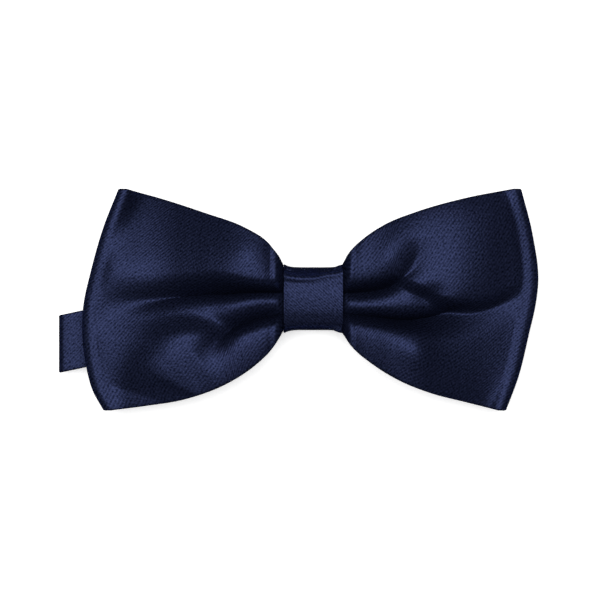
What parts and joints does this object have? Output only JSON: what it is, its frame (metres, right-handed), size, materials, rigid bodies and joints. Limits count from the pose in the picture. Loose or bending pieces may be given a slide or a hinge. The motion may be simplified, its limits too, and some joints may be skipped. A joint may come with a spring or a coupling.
{
  "type": "bow tie",
  "caption": "Pre-tied satin bow tie with folded wings, a wrapped knot, and an adjustable neck band with slider, hook and eye, folded flat behind it.",
  "frame": {"origin": "on the table, under the middle of the knot, with the bow lying face up on its folded neck band", "axes": "+X to the right as the bow is seen from the front, +Y up the shirt front, +Z out of the bow's face, away from the wearer"},
  "size_m": [0.1271, 0.0596, 0.0212],
  "materials": {
    "satin": "dark navy polyester satin with a fine diagonal twill and a soft silky sheen",
    "lining": "stiff off-white woven interlining and wadding, hidden inside the bow and knot",
    "thread": "dark navy polyester sewing thread",
    "nickel": "nickel-plated stamped steel, smooth and bright with fine rub marks"
  },
  "bodies": {
    "bow": {"bow_shell": "satin", "bow_interlining": "lining", "bow_loop_seam": "thread", "waist_thread": "thread", "knot_pad": "lining", "knot_band": "satin", "knot_stitches": "thread", "neck_band": "satin", "band_tail": "satin", "eye_bartack": "thread"},
    "slider": {"slider": "nickel", "slider_bartack": "thread"},
    "hook": {"hook": "nickel"},
    "eye": {"eye": "nickel"}
  },
  "joints": [
    {"name": "slider_slide", "type": "slide", "parent": "bow", "child": "slider", "axis": [1, 0, 0], "range_m": [-0.007, 0.007], "deforming": ["band_tail"]},
    {"name": "hook_pivot", "type": "hinge", "parent": "bow", "child": "hook", "pos_m": [0.016, 0.0005, 0.0026], "axis": [0, 1, 0], "range_deg": [0, 60]},
    {"name": "eye_pivot", "type": "hinge", "parent": "bow", "child": "eye", "pos_m": [0.042, 0.0005, 0.0026], "axis": [0, -1, 0], "range_deg": [0, 60]}
  ]
}
